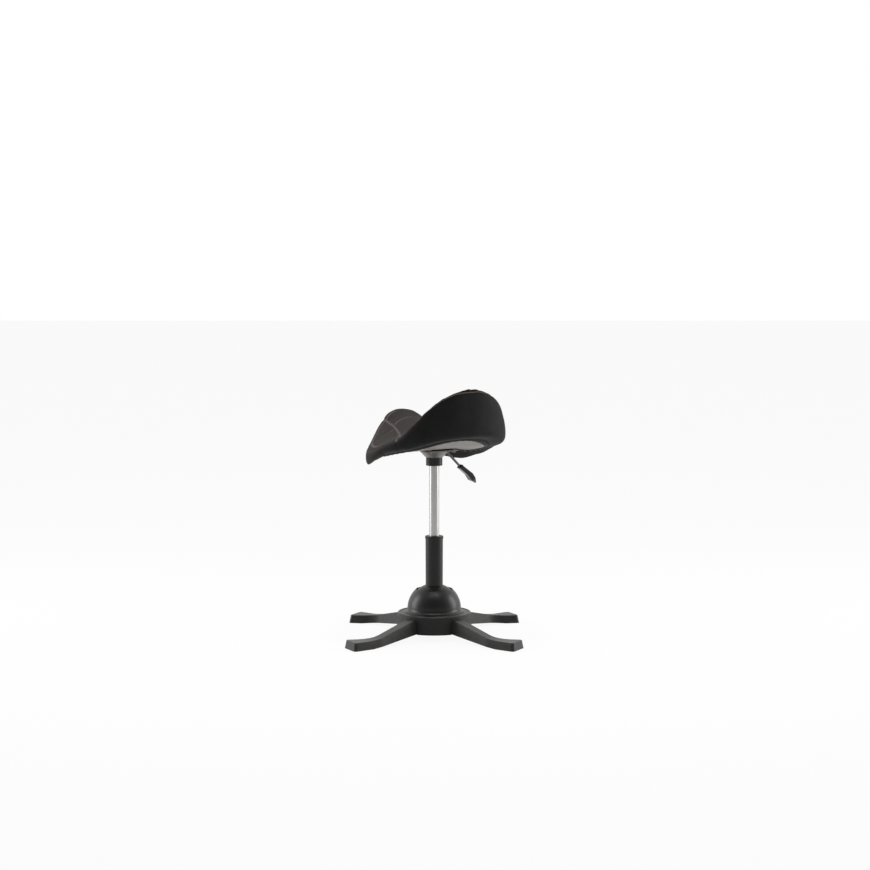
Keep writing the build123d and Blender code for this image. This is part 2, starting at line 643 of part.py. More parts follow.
def channels():
    """Plan outline of all sewn channels, pushed up through the cushion."""
    lines = [ThreePointArc((-CROSS_END[0], CROSS_END[1]), (0, CROSS_FORWARD), CROSS_END)]
    for side in (-1, 1):
        turn = -side * (BORDER_TO - BORDER_FROM)
        lines.append(CenterArc((0, 0), SEAT_R - BORDER_INSET, 90 - side * BORDER_FROM, turn))
        bend = (side * SPLIT_BEND[0], SPLIT_BEND[1])
        lines.append(ThreePointArc(rim_point(SPLIT_FROM, 0, side), bend, rim_point(SPLIT_TO, 0, side)))
        lines.append(Line(rim_point(WING_ANGLE, BORDER_INSET, side), (side * WING_END[0], WING_END[1])))
    pattern = Sketch() + [trace(line, CHANNEL_WIDTH) for line in lines]
    return Pos(0, 0, SEAT_Z - SEAT_R) * extrude(pattern, 2 * SEAT_R, dir=(0, 0, 1))


def cushion():
    """Padded cushion with its sewn channels and the hollow for the pan."""
    outer = cushion_outer()
    lowered = Pos(0, 0, -CHANNEL_DEPTH) * outer
    return outer - (channels() - lowered) - pan_block(SOFT_GAP, PAN_HOLLOW)


def seat_pan():
    """Moulded pan with a flat pad for the plate and the nuts' holes."""
    body = pan_block(0, 0)
    body -= Pos(0, 0, SEAT_Z - PAN_HOLLOW) * Box(PAN_PAD_SIDE, PAN_PAD_SIDE, PAN_HOLLOW, align=LOW)
    for hole in plate_corners(rod(NUT_R + SEAT_FIT, SEAT_Z - PLATE_THICK, SEAT_Z + NUT_LENGTH)):
        body -= hole
    return body


LEVER_FRAME = Pos(LEVER_PIVOT_R, 0, PIVOT_HEIGHT)


def lever_rod():
    """Bent rod: a level arm over the valve button and a sloping arm to the handle."""
    inner = along_x(LEVER_ROD_R, -LEVER_PIVOT_R, 0, 0)
    outer = Rot(0, LEVER_SLOPE, 0) * along_x(LEVER_ROD_R, 0, LEVER_ROD_LENGTH, 0)
    body = inner + outer + Sphere(LEVER_ROD_R)
    pin = Rot(90, 0, 0) * Cylinder(LEVER_PIN_R + RUN_FIT, THROUGH)
    return LEVER_FRAME * (body - pin)


def lever_bracket():
    """Two cheeks under the plate that hold the lever's pin."""
    reach = LEVER_ROD_R + SOFT_GAP
    cheek = Box(BRACKET_LENGTH, BRACKET_SIDE - SOFT_GAP, LEVER_PIVOT_DROP + LEVER_ROD_R)
    cheek = Pos(0, reach + (BRACKET_SIDE - SOFT_GAP) / 2, (LEVER_PIVOT_DROP - LEVER_ROD_R) / 2) * cheek
    cheek -= Rot(90, 0, 0) * Cylinder(LEVER_PIN_R + SEAT_FIT, THROUGH)
    return [LEVER_FRAME * cheek, LEVER_FRAME * mirror(cheek, Plane.XZ)]


def lever_pin():
    return LEVER_FRAME * Rot(90, 0, 0) * Cylinder(LEVER_PIN_R, 2 * (LEVER_ROD_R + BRACKET_SIDE))


HANDLE_FRAME = LEVER_FRAME * Rot(0, LEVER_SLOPE, 0) * Pos(LEVER_ROD_LENGTH - HANDLE_SOCKET, 0, 0)


def handle_side(start, end):
    """One side of the handle's plan, widening between two places along the rod."""
    first = HANDLE_FIRST_WIDTH / 2
    grow = (HANDLE_LAST_WIDTH - HANDLE_FIRST_WIDTH) / 2 / (HANDLE_LENGTH - HANDLE_POINT)
    return [(start, first + grow * start), (end, first + grow * end)]


def lever_handle():
    """Faceted grip, pushed on the rod: arched along its back, drawn in at the palm, with a chisel end."""
    upper = handle_side(END_CAP_LENGTH, HANDLE_LENGTH - HANDLE_POINT)
    upper.append((HANDLE_LENGTH, HANDLE_TIP_WIDTH / 2))
    outline = make_face(Polyline(*upper, *[(x, -y) for x, y in reversed(upper)], close=True))
    palm = [(END_CAP_LENGTH, -HANDLE_THICK / 2), *HANDLE_PALM, (HANDLE_LENGTH, HANDLE_TIP_RISE[0])]
    back = [(END_CAP_LENGTH, HANDLE_THICK / 2), *HANDLE_BACK, (HANDLE_LENGTH, HANDLE_TIP_RISE[1])]
    profile = Plane.XZ * make_face(Polyline(*palm, *reversed(back), close=True))
    body = extrude(outline, HANDLE_LAST_WIDTH, both=True) & extrude(profile, HANDLE_LAST_WIDTH, both=True)
    body = chamfer(body.edges().filter_by(lambda e: abs(e.tangent_at(0.5).X) > UPRIGHT), HANDLE_EDGE)
    body -= along_x(LEVER_ROD_R + SEAT_FIT, 0, HANDLE_SOCKET, 0)
    return HANDLE_FRAME * body


def lever_end_cap():
    upper = handle_side(0, END_CAP_LENGTH)
    outline = make_face(Polyline(*upper, *[(x, -y) for x, y in reversed(upper)], close=True))
    body = extrude(outline, HANDLE_THICK / 2, both=True)
    body -= along_x(LEVER_ROD_R + SEAT_FIT, 0, END_CAP_LENGTH, 0)
    return HANDLE_FRAME * body


os.makedirs("parts", exist_ok=True)

# Base
save("base_hub", hub())
leg_names = ("leg_rear_right", "leg_rear_left", "leg_front_left", "leg_front_right")
for leg_name, placed in zip(leg_names, turned_legs(leg())):
    save(leg_name, placed)
bolts = [b for x in leg_bolt_places() for b in on_legs(leg_bolt(x))]
save("leg_bolts", *bolts)
save("foot_pads", *turned_legs(foot_pad(0)))
save("bottom_cover", bottom_cover())
save("bottom_cover_screws", *around(COVER_SCREW_COUNT, cover_screw()))
save("dome_cover", dome())
save("dome_screws", *around(DOME_SCREW_COUNT, dome_screw(), DOME_SCREW_FIRST))
save("base_pivot_bushes", *around(PIN_COUNT, bush_between(BEARING_INNER, CUP_R)))
save("tilt_buffer", ring(CUP_BORE_R - SOFT_GAP, BUFFER_BORE_R, COVER_TOP, COVER_TOP + BUFFER_HEIGHT))

# Tilt joint
save("gimbal_ring", gimbal_ring())
outer_pin = along_x(PIN_R, RING_BORE_R + PIN_SINK, CUP_R - PIN_SINK, PIVOT_Z)
save("gimbal_outer_pins", *around(PIN_COUNT, outer_pin))
inner_pin = along_x(PIN_R, SOCKET_R - SOCKET_PIN_DEPTH + PIN_SINK, RING_R - PIN_SINK, PIVOT_Z)
save("gimbal_inner_pins", *around(PIN_COUNT, inner_pin, 90))

# Column
save("column_socket", column_socket())
inner_bush = bush_between(SOCKET_R - SOCKET_PIN_DEPTH, SOCKET_R)
save("column_pivot_bushes", *around(PIN_COUNT, inner_bush, 90))
save("ball_cap", ball_cap())
save("column_tube", column_tube())
save("tube_end_plate", ring(TUBE_BORE_R - SEAT_FIT, ROD_R + SEAT_FIT, PLATE_FLOOR, BEARING_FLOOR))
save("guide_bush", guide_bush())
save("lower_thrust_washer", ring(WASHER_R, ROD_R + SEAT_FIT, BEARING_FLOOR, BEARING_FLOOR + WASHER_THICK))

# Piston rod, which turns in the thrust bearing
save("piston_rod", rod(ROD_R, TUBE_FOOT + ROD_SHORT, PISTON_FOOT + PISTON_THICK))
save("rod_clip", ring(CLIP_R, ROD_R, PLATE_FLOOR - CLIP_THICK - RUN_FIT, PLATE_FLOOR - RUN_FIT))
save("thrust_balls", *around(BALL_COUNT, thrust_ball()))
save("upper_thrust_washer", ring(WASHER_R, ROD_R, BEARING_TOP - WASHER_THICK, BEARING_TOP))
save("bumper", ring(BUMPER_R, ROD_R, BEARING_TOP, BEARING_TOP + BUMPER_HEIGHT))
save("piston", ring(BORE_R - RUN_FIT, ROD_R, PISTON_FOOT, PISTON_FOOT + PISTON_THICK))

# Seat, turned about the column
TURN = Rot(0, 0, SEAT_YAW)
save("gas_cylinder", gas_cylinder())
save("cylinder_end_guide", ring(BORE_R, ROD_R + RUN_FIT, CYLINDER_FOOT, CYLINDER_FOOT + END_GUIDE_LENGTH))
save("collar", ring(COLLAR_R, NECK_R + SEAT_FIT, COLLAR_FOOT, CONE_FOOT))
save("seat_cone", TURN * seat_cone())
save("seat_plate", TURN * seat_plate())
save("plate_bolts", *[TURN * b for b in plate_corners(plate_bolt())])
save("insert_nuts", *[TURN * n for n in plate_corners(insert_nut())])
save("seat_pan", TURN * seat_pan())
save("seat_cushion", TURN * cushion())
save("lever_bracket", *[TURN * cheek for cheek in lever_bracket()])
save("lever_pin", TURN * lever_pin())

# Lever and valve button
save("lever_rod", TURN * lever_rod())
save("lever_handle", TURN * lever_handle())
save("lever_end_cap", TURN * lever_end_cap())
save("valve_button", valve_button())
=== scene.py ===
from math import cos, pi, radians, sin

import bmesh
import bpy
import numpy as np
from mathutils import Matrix, Vector
from mathutils.bvhtree import BVHTree


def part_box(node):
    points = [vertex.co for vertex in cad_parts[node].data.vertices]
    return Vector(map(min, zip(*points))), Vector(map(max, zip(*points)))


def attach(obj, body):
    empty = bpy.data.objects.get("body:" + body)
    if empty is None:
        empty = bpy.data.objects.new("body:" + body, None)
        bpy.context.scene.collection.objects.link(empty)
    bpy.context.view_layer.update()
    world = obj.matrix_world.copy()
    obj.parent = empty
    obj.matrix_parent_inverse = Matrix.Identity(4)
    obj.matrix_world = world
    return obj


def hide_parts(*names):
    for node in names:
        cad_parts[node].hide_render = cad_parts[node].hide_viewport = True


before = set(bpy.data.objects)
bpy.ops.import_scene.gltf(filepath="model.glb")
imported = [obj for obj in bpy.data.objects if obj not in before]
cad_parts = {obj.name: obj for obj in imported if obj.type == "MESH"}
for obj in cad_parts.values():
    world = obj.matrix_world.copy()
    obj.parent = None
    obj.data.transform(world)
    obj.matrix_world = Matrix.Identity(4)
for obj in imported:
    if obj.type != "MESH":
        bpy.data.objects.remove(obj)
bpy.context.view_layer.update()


# Base hub: a moulded ring of black glass-filled nylon that carries the legs and the tilt joint.
# It leaves the mould with a fine spark-eroded grain; its level top is painted lighter in patches, for a thin film of
# dust and for the light that falls on it from above.
POST_RISE = 0.021        # the hub's box reaches this far above its level top
DUST_AND_LIGHT_FROM, DUST_AND_LIGHT_FULL = 0.004, 0.001      # dust and painted top light begin and are full this far below the top
DUST_AND_LIGHT_SHARE = 0.8
HUB_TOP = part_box("base_hub")[1][2] - POST_RISE


class Tone:
    """A shader socket that can be reckoned with: tone * 2, 1 - tone, tone + other."""

    def __init__(self, tree, socket):
        self.tree = tree
        self.socket = socket

    def node(self, kind, settings=None, sockets=None, output=0):
        """Add a node: its type, its settings, set first, and what goes into its sockets."""
        made = self.tree.nodes.new(kind)
        for name, value in (settings or {}).items():
            setattr(made, name, value)
        for key, value in (sockets or {}).items():
            if isinstance(value, Tone):
                self.tree.links.new(value.socket, made.inputs[key])
            else:
                made.inputs[key].default_value = value
        return Tone(self.tree, made.outputs[output])

    def sum(self, operation, *terms):
        """One step of arithmetic on tones and numbers."""
        return self.node("ShaderNodeMath", {"operation": operation}, dict(enumerate(terms)))

    def __add__(self, other):
        return self.sum("ADD", self, other)

    def __sub__(self, other):
        return self.sum("SUBTRACT", self, other)

    def __rsub__(self, other):
        return self.sum("SUBTRACT", other, self)

    def __mul__(self, other):
        return self.sum("MULTIPLY", self, other)

    __radd__ = __add__
    __rmul__ = __mul__

    def between(self, low, high):
        """A colour that goes from one to the other as this value goes from 0 to 1."""
        low, high = [(*c, 1.0) if isinstance(c, tuple) else c for c in (low, high)]
        return self.node("ShaderNodeMix", {"data_type": "RGBA"}, {0: self, 6: low, 7: high}, 2)

    def ease(self, low, high):
        """0 below one value, 1 above the other, and smooth in between."""
        return self.node("ShaderNodeMapRange", {"interpolation_type": "SMOOTHSTEP"},
                         {"Value": self, "From Min": low, "From Max": high})

    def speckle(self, scale, detail=2.0, roughness=0.5):
        """Soft noise on these coordinates."""
        return self.node("ShaderNodeTexNoise", {},
                         {"Vector": self, "Scale": scale, "Detail": detail, "Roughness": roughness})


def srgb(*levels):
    """A colour given as 0 to 255 screen levels, as the shader's linear colour."""
    return tuple((v / 255 / 12.92) if v <= 10 else ((v / 255 + 0.055) / 1.055) ** 2.4 for v in levels)


class Finish:
    """A new material: its base shader, and the object coordinates to draw on."""

    def __init__(self, name, **fixed):
        self.material = bpy.data.materials.new(name)
        self.material.use_nodes = True
        self.tree = self.material.node_tree
        self.base = self.tree.nodes["Principled BSDF"]
        for socket, value in fixed.items():
            self.base.inputs[socket.replace("_", " ")].default_value = value
        self.place = Tone(self.tree, self.tree.nodes.new("ShaderNodeTexCoord").outputs["Object"])

    def feed(self, **tones):
        """Link tones to the base shader's sockets."""
        for socket, tone in tones.items():
            self.tree.links.new(tone.socket, self.base.inputs[socket.replace("_", " ")])
        return self

    def bump(self, height, distance, strength=1.0):
        """Small relief of the surface, its height in metres."""
        relief = height.node("ShaderNodeBump", {},
                             {"Strength": strength, "Distance": distance, "Height": height})
        return self.feed(Normal=relief)


def dress(finish, *nodes):
    """Give CAD nodes a finish."""
    for node in nodes:
        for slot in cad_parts[node].material_slots:
            slot.material = finish.material


def moulded(name, dark, light, rough, grain, relief=0.00012, **fixed):
    """Moulded plastic: a fine spark-eroded grain, cloudy gloss, small drift of colour and rubbed spots."""
    finish = Finish(name, **{"Specular_IOR_Level": 0.35, **fixed})
    cloud = finish.place.speckle(16.0, 4.0)
    pits = finish.place.speckle(grain, 3.0, 0.65)
    rubbed = finish.place.speckle(55.0, 5.0, 0.7).ease(0.58, 0.72)
    finish.shade = (0.65 * cloud.ease(0.3, 0.7) + 0.35 * pits).between(dark, light)
    finish.feed(Base_Color=finish.shade,
                Roughness=rough + 0.06 * (cloud - 0.5) - 0.04 * rubbed + 0.06 * (pits - 0.5))
    return finish.bump(pits, relief)


hub_nylon = moulded("hub_nylon", srgb(22, 21, 20), srgb(33, 31, 29), 0.42, 1500.0)
height = hub_nylon.place.node("ShaderNodeSeparateXYZ", {}, {0: hub_nylon.place}, 2)
# Painted top light: the level top is painted lighter in patches, partly a film of dust and partly the light that falls
# on it from above.
dust_and_light_patches = hub_nylon.place.speckle(30.0, 4.0).ease(0.2, 0.7)
dust_and_top_light = height.ease(HUB_TOP - DUST_AND_LIGHT_FROM, HUB_TOP - DUST_AND_LIGHT_FULL) * dust_and_light_patches
hub_nylon.feed(Base_Color=(DUST_AND_LIGHT_SHARE * dust_and_top_light).between(hub_nylon.shade, srgb(90, 86, 82)))
dress(hub_nylon, "base_hub", "bottom_cover")

# Legs: hollow box arms of the same nylon, pushed through the hub's wall and bolted up into its top.
# Each ends in a foot that turns aside and stands on a rubber pad; grit has dulled the feet.
FOOT_FROM, FOOT_FULL = 0.25, 0.3         # scuffs begin and are full this far from the column
SCUFF_SHARE = 0.45
leg_nylon = moulded("leg_nylon", srgb(36, 35, 34), srgb(52, 50, 49), 0.4, 1500.0, 0.00016)
away = leg_nylon.place.node("ShaderNodeVectorMath", {"operation": "LENGTH"}, {0: leg_nylon.place}, 1)
scratched = leg_nylon.place.speckle(140.0, 5.0, 0.75).ease(0.56, 0.7)
scuffs = away.ease(FOOT_FROM, FOOT_FULL) * scratched
leg_nylon.feed(Base_Color=(SCUFF_SHARE * scuffs).between(leg_nylon.shade, srgb(74, 71, 68)))
dress(leg_nylon, "leg_rear_right", "leg_rear_left", "leg_front_left", "leg_front_right")

# Rubber pieces: the foot pads, the ring that stops the tilt and the bumper of the gas lift.
# All are moulded in soft black rubber with a matt, coarse skin.
rubber = moulded("soft_rubber", srgb(22, 22, 22), srgb(33, 32, 31), 0.78, 700.0)
dress(rubber, "foot_pads", "tilt_buffer", "bumper")


# Screws, bolts, washers and pins: turned steel, some of it zinc plated, some ground bright.
# The bushes are bronze and the tilt joint's ring and socket dark iron; all have fine lathe rings and dull stains.
def turned_metal(name, dull, bright, rough):
    """Lathe-turned metal: close rings, cloudy plating and a few dull stains."""
    finish = Finish(name, Metallic=1.0)
    stain = finish.place.speckle(120.0, 4.0, 0.6)
    rings = finish.place.node("ShaderNodeTexWave", {"bands_direction": "Z"},
                              {"Vector": finish.place, "Scale": 420.0, "Distortion": 1.5, "Detail": 2.0}, 1)
    finish.feed(Base_Color=stain.ease(0.35, 0.65).between(dull, bright), Roughness=rough + 0.2 * (stain - 0.5))
    return finish.bump(rings, 0.00004, 0.6)


zinc = turned_metal("zinc_plate", srgb(128, 127, 122), srgb(158, 157, 152), 0.42)
dress(zinc, "leg_bolts", "bottom_cover_screws", "dome_screws", "tube_end_plate", "rod_clip", "insert_nuts")
bright_steel = turned_metal("ground_steel", srgb(168, 168, 170), srgb(192, 192, 194), 0.25)
dress(bright_steel, "gimbal_outer_pins", "gimbal_inner_pins", "lower_thrust_washer", "upper_thrust_washer",
      "thrust_balls", "piston_rod", "lever_pin", "valve_button")
bronze = turned_metal("bush_bronze", srgb(150, 112, 66), srgb(181, 140, 88), 0.38)
dress(bronze, "base_pivot_bushes", "column_pivot_bushes")
cast_iron = turned_metal("joint_iron", srgb(70, 70, 70), srgb(98, 97, 96), 0.55)
dress(cast_iron, "gimbal_ring", "column_socket")

# Dome and ball cap: thin black mouldings that hide the tilt joint, the cap turning inside the dome.
# Both are smoother than the hub, with a satin shine and almost no grain.
dome_satin = moulded("dome_satin", srgb(15, 15, 15), srgb(20, 19, 19), 0.36, 600.0, 0.00002, Specular_IOR_Level=0.5)
dress(dome_satin, "dome_cover")
cap_satin = moulded("cap_satin", srgb(25, 23, 22), srgb(36, 33, 31), 0.38, 600.0, 0.00004)
dress(cap_satin, "ball_cap")

# Column tube: drawn steel with a satin black powder coat, pressed into the joint's socket.
# The guide bush in its mouth is plain black acetal, and so are the piston and the cylinder's end guide.
powder = moulded("tube_powder", srgb(22, 21, 21), srgb(30, 29, 28), 0.38, 1000.0, 0.00006)
dress(powder, "column_tube")
acetal = moulded("guide_acetal", srgb(22, 22, 22), srgb(31, 31, 31), 0.42, 900.0)
dress(acetal, "guide_bush", "piston", "cylinder_end_guide")

# Tube trim: a thin ring of the same acetal, snapped over the tube's mouth to hide its cut edge.
# Small notches in its upper edge take the tool that turns it home.
TUBE_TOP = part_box("column_tube")[1][2]
TUBE_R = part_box("column_tube")[1][0]
TRIM_SECTION = ((0.0001, -0.005), (0.0008, -0.005), (0.0010, -0.0046),
                (0.0010, 0.0021), (0.0006, 0.0025), (-0.0006, 0.0025))   # out from the tube's side, up from its end
TRIM_STEPS, TRIM_NOTCHES = 120, 10
NOTCH_HALF, NOTCH_DEPTH = 0.11, 0.0022   # half a notch's width, as a share of their spacing


def placed(name, mesh):
    """Write a bmesh out as a new object in the scene."""
    data = bpy.data.meshes.new(name)
    mesh.to_mesh(data)
    mesh.free()
    piece = bpy.data.objects.new(name, data)
    bpy.context.scene.collection.objects.link(piece)
    return piece


trim = bmesh.new()
outline = [trim.verts.new((TUBE_R + out, 0.0, TUBE_TOP + up)) for out, up in TRIM_SECTION]
sides = [trim.edges.new(pair) for pair in zip(outline[:-1], outline[1:])]
bmesh.ops.spin(trim, geom=outline + sides, cent=(0, 0, 0), axis=(0, 0, 1), angle=2 * pi,
               steps=TRIM_STEPS, use_merge=True)
bmesh.ops.remove_doubles(trim, verts=trim.verts, dist=1e-6)
bmesh.ops.recalc_face_normals(trim, faces=trim.faces)
for vert in trim.verts:
    turn = np.arctan2(vert.co.y, vert.co.x) / (2 * pi) * TRIM_NOTCHES
    if vert.co.z > TUBE_TOP and abs(turn - round(turn)) < NOTCH_HALF:
        vert.co.z -= NOTCH_DEPTH
tube_trim = placed("tube_trim", trim)
tube_trim.data.materials.append(acetal.material)
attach(tube_trim, "column")

# Gas cylinder: a drawn steel tube, hard-chromed and polished, that slides in the guide bush.
# Long fine polishing lines run down it, and a little grease clouds it in places.
chrome = Finish("cylinder_chrome", Metallic=1.0)
long_way = chrome.place.node("ShaderNodeMapping", {}, {"Vector": chrome.place, "Scale": (900.0, 900.0, 6.0)})
lines = long_way.speckle(1.0, 3.0, 0.6)
grease = chrome.place.speckle(35.0, 4.0, 0.6)
chrome.feed(Base_Color=lines.ease(0.3, 0.7).between(srgb(182, 180, 179), srgb(194, 192, 191)),
            Roughness=0.3 + 0.04 * grease.ease(0.4, 0.75))
dress(chrome, "gas_cylinder")

# Collar and seat socket: the collar is a turned black plastic ring that covers the socket's neck.
# The socket above it is a grey die casting, tumbled to a satin skin, which grips the cylinder's taper.
collar_black = moulded("collar_black", srgb(23, 23, 23), srgb(32, 31, 31), 0.34, 900.0)
dress(collar_black, "collar")
casting = Finish("socket_casting", Metallic=0.85)
skin = casting.place.speckle(260.0, 5.0, 0.7)
flow = casting.place.speckle(40.0, 3.0)
casting.feed(Base_Color=flow.ease(0.3, 0.7).between(srgb(122, 119, 115), srgb(146, 143, 138)),
             Roughness=0.4 + 0.16 * (skin - 0.5))
casting.bump(skin, 0.00012, 0.7)
dress(casting, "seat_cone")

# Seat plate: pressed steel in grey paint, held by four bolts in nuts that are let into the pan.
# The lever's two cheeks are welded under it and painted with it, and the bolts' heads are painted over.
plate_paint = moulded("plate_paint", srgb(112, 109, 104), srgb(132, 128, 123), 0.4, 800.0)
dress(plate_paint, "seat_plate", "plate_bolts", "lever_bracket")

# Seat pan: a shaped shell of recycled polypropylene, left bare and grey, with a coarse moulded skin.
# Its flat pad carries the plate, and its grey drifts a little, as mixed stock does.
pan_grey = moulded("pan_grey", srgb(122, 118, 113), srgb(148, 143, 137), 0.46, 420.0, 0.0003)
dress(pan_grey, "seat_pan")

# Saddle cushion: foam on the pan under a cover of woven mesh, sewn in panels whose channels pull into the foam.
# A smooth black skirt is sewn round its side, and the cover is drawn tight and stapled under the pan.
SEAT_YAW = radians(31.5)
REACH, REAR_SPREAD = 0.193, 0.009
SPREAD_FROM, SPREAD_RUN = 78, 58         # degrees from the front where the rim spreads, and over which it does
SECTION_FIRST, SECTION_STEP, SECTION_HALF = 3.75, 7.5, 0.8   # the formed cushion's sections, in degrees
SECTOR = 2.0             # degrees between the sectors that are measured round the rim
NEAR_RIM = 0.03          # depth of those sectors

NOSE_LINE = ((-0.066, 0.106), (0.0, 0.131), (0.066, 0.106))
BORDER_ANGLES, BORDER_INSET = (8, 70, 132), 0.016
PANEL_ANGLES, PANEL_BEND = (19, 116), (0.086, 0.062)
TIE_ANGLE, TIE_END = 66, (0.081, 0.077)
CHANNEL_HALF, CHANNEL_DEPTH = 0.0052, 0.0030
RIM_SLOPE, SLOPE_BAND = 0.42, 0.08       # upward part of the normal where the top panel meets the skirt
RIM_BAND, RIM_SEAM_DEPTH = 0.02, 0.0008
SKIRT_SEAM, SKIRT_SEAM_DEPTH = radians(117), 0.0012
THREAD_PITCH = 0.0021

VOXEL, FIRST_ROUNDS = 0.0042, 5
EDGE_ROUNDS, EDGE_BAND = 100, (0.018, 0.036)         # rounding of crest and foot
UNDER_SHARE, UNDER_BAND = 0.3, (0.05, 0.075)         # and of the underside next to them
SETTLE_ROUNDS = (16, 10, 6, 0)           # softening after each step that draws them back out
CREST_BAND, FOOT_BAND = 0.0025, 0.0105   # where the formed crest and foot lie, in from the rim
MOST_PULL, PULL_FADE, PULL_DEPTH = 0.03, (0.012, 0.045), (-0.05, -0.01)
REAR_FOOT, REAR_FOOT_RISE = (112, 135), 0.75         # the foot is drawn out less at the rear
MOST_PUSH, PUSH_FADE, GIRTH_BAND = 0.012, (0.006, 0.04), 0.01

PUFF = 0.0055            # most that the stuffing lifts a panel
STUFFING_PRESSURE, STUFFING_FRAMES = 4.0, 20
HELD_SLOPE, HELD_LINE, HELD_RIM = 0.35, 0.0035, 0.008
PUFF_FULL = 0.034        # this far in from the rim


def arc_through(a, b, c, steps=28):
    """Plan points along the circle arc from a through b to c."""
    (ax, ay), (bx, by), (cx, cy) = a, b, c
    d = 2 * (ax * (by - cy) + bx * (cy - ay) + cx * (ay - by))
    x = ((ax**2 + ay**2) * (by - cy) + (bx**2 + by**2) * (cy - ay) + (cx**2 + cy**2) * (ay - by)) / d
    y = ((ax**2 + ay**2) * (cx - bx) + (bx**2 + by**2) * (ax - cx) + (cx**2 + cy**2) * (bx - ax)) / d
    first, way, last = [np.arctan2(q - y, p - x) for p, q in (a, b, c)]
    way = first + (way - first + pi) % (2 * pi) - pi
    last = way + (last - way + pi) % (2 * pi) - pi
    angles = np.linspace(first, last, steps)
    return np.column_stack((x + np.hypot(ax - x, ay - y) * np.cos(angles),
                            y + np.hypot(ax - x, ay - y) * np.sin(angles)))


def rim_reach(angle):
    """Plan radius of the cushion at an angle from its front."""
    return REACH + REAR_SPREAD * np.sin(pi / 2 * np.maximum(0, np.degrees(angle) - SPREAD_FROM) / SPREAD_RUN) ** 2


def rim_place(degrees_from_front, inset, side):
    """A plan point in from the rim, on the left (-1) or the right (1)."""
    angle = radians(degrees_from_front)
    length = float(rim_reach(angle)) - inset
    return (side * length * sin(angle), length * cos(angle))


def gap_to(plan, lines):
    """Distance of each plan point from the nearest of several lines."""
    gap = np.full(len(plan), 1.0)
    for line in lines:
        for start, end in zip(line[:-1], line[1:]):
            step = end - start
            t = np.clip((plan - start) @ step / (step @ step), 0, 1)
            gap = np.minimum(gap, np.hypot(*(plan - start - t[:, None] * step).T))
    return gap


def eased(values, low, high):
    """0 below one value, 1 above the other, and smooth in between."""
    t = np.clip((values - low) / (high - low), 0, 1)
    return t * t * (3 - 2 * t)


sewn_lines = [arc_through(*NOSE_LINE)]
for side in (-1, 1):
    border = [rim_place(angle, BORDER_INSET, side) for angle in BORDER_ANGLES]
    fore, aft = [rim_place(angle, 0, side) for angle in PANEL_ANGLES]
    sewn_lines.append(arc_through(*border, 60))
    sewn_lines.append(arc_through(fore, (side * PANEL_BEND[0], PANEL_BEND[1]), aft, 50))
    sewn_lines.append(np.array([rim_place(TIE_ANGLE, BORDER_INSET, side), (side * TIE_END[0], TIE_END[1])]))

seat_turn = np.array(Matrix.Rotation(-SEAT_YAW, 3, "Z"))


def surface_of(mesh):
    """Places in the seat's own frame and normals of a mesh's vertices."""
    flat = np.empty(len(mesh.vertices) * 3)
    mesh.vertices.foreach_get("co", flat)
    places = flat.reshape(-1, 3) @ seat_turn.T
    normals = np.array([v.normal for v in mesh.vertices]) @ seat_turn.T
    return places, normals


def settle(mesh, places):
    """Put a mesh's vertices at places given in the seat's own frame."""
    mesh.vertices.foreach_set("co", (places @ seat_turn).ravel())
    mesh.update()


def applied(piece):
    """Give a piece the mesh that its modifiers make, and take the modifiers off."""
    made = piece.evaluated_get(bpy.context.evaluated_depsgraph_get())
    piece.data = bpy.data.meshes.new_from_object(made)
    piece.modifiers.clear()


foam = bmesh.new()
foam.from_mesh(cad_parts["seat_cushion"].data)
bmesh.ops.remove_doubles(foam, verts=foam.verts, dist=1e-5)
cushion = placed("saddle_cushion", foam)
even = cushion.modifiers.new("even_mesh", "REMESH")
even.mode = "VOXEL"
even.voxel_size = VOXEL
applied(cushion)
formed, _ = surface_of(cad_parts["seat_cushion"].data)


def round_the_rim(places):
    """Angle from the front in degrees, right positive, and the distance in from the rim."""
    way = np.degrees(np.arctan2(places[:, 0], places[:, 1]))
    return way, rim_reach(np.radians(np.abs(way))) - np.hypot(places[:, 0], places[:, 1])


def all_round(places, heights):
    """The highest of some heights in each small sector near the rim, evened out, at every place."""
    way, inward = round_the_rim(places)
    sectors = np.arange(-180, 180, SECTOR)
    near = inward < NEAR_RIM
    top = np.array([heights[near & (np.abs((way - b + 180) % 360 - 180) < SECTOR)].max() for b in sectors])
    spread = np.hanning(11)[1:-1]
    side = len(spread) // 2
    top = np.convolve(np.concatenate((top[-side:], top, top[:side])), spread / spread.sum(), "valid")
    return np.interp(way, sectors, top, period=360)


def at_sections(values, near, places):
    """The formed cushion's highest value at each of its sections, at every place."""
    bearing = np.abs(round_the_rim(formed)[0])
    sections = np.arange(SECTION_FIRST, 180, SECTION_STEP)
    top = [values[near & (np.abs(bearing - b) < SECTION_HALF)].max() for b in sections]
    return np.interp(np.abs(round_the_rim(places)[0]), sections, top)


def edge_pull(places, up, band):
    """Shift in height that brings a rounded edge, the crest or the foot, back to the formed one."""
    way, inward = round_the_rim(places)
    drop = up * places[:, 2] - at_sections(up * formed[:, 2], round_the_rim(formed)[1] < band, places)
    short = np.clip(-all_round(places, drop), 0, MOST_PULL)
    if up < 0:
        short = short * (1 - REAR_FOOT_RISE * eased(np.abs(way), *REAR_FOOT))
    return up * short * (1 - eased(inward, *PULL_FADE)) * eased(drop, *PULL_DEPTH)


def girth_push(places):
    """Scale in plan that brings the rounded side back out to the formed one."""
    inward = round_the_rim(places)[1]
    margin = round_the_rim(formed)[1]
    short = at_sections(-margin, margin < GIRTH_BAND, places) - all_round(places, -inward)
    return 1 + np.clip(short, 0, MOST_PUSH) * (1 - eased(inward, *PUSH_FADE)) / REACH


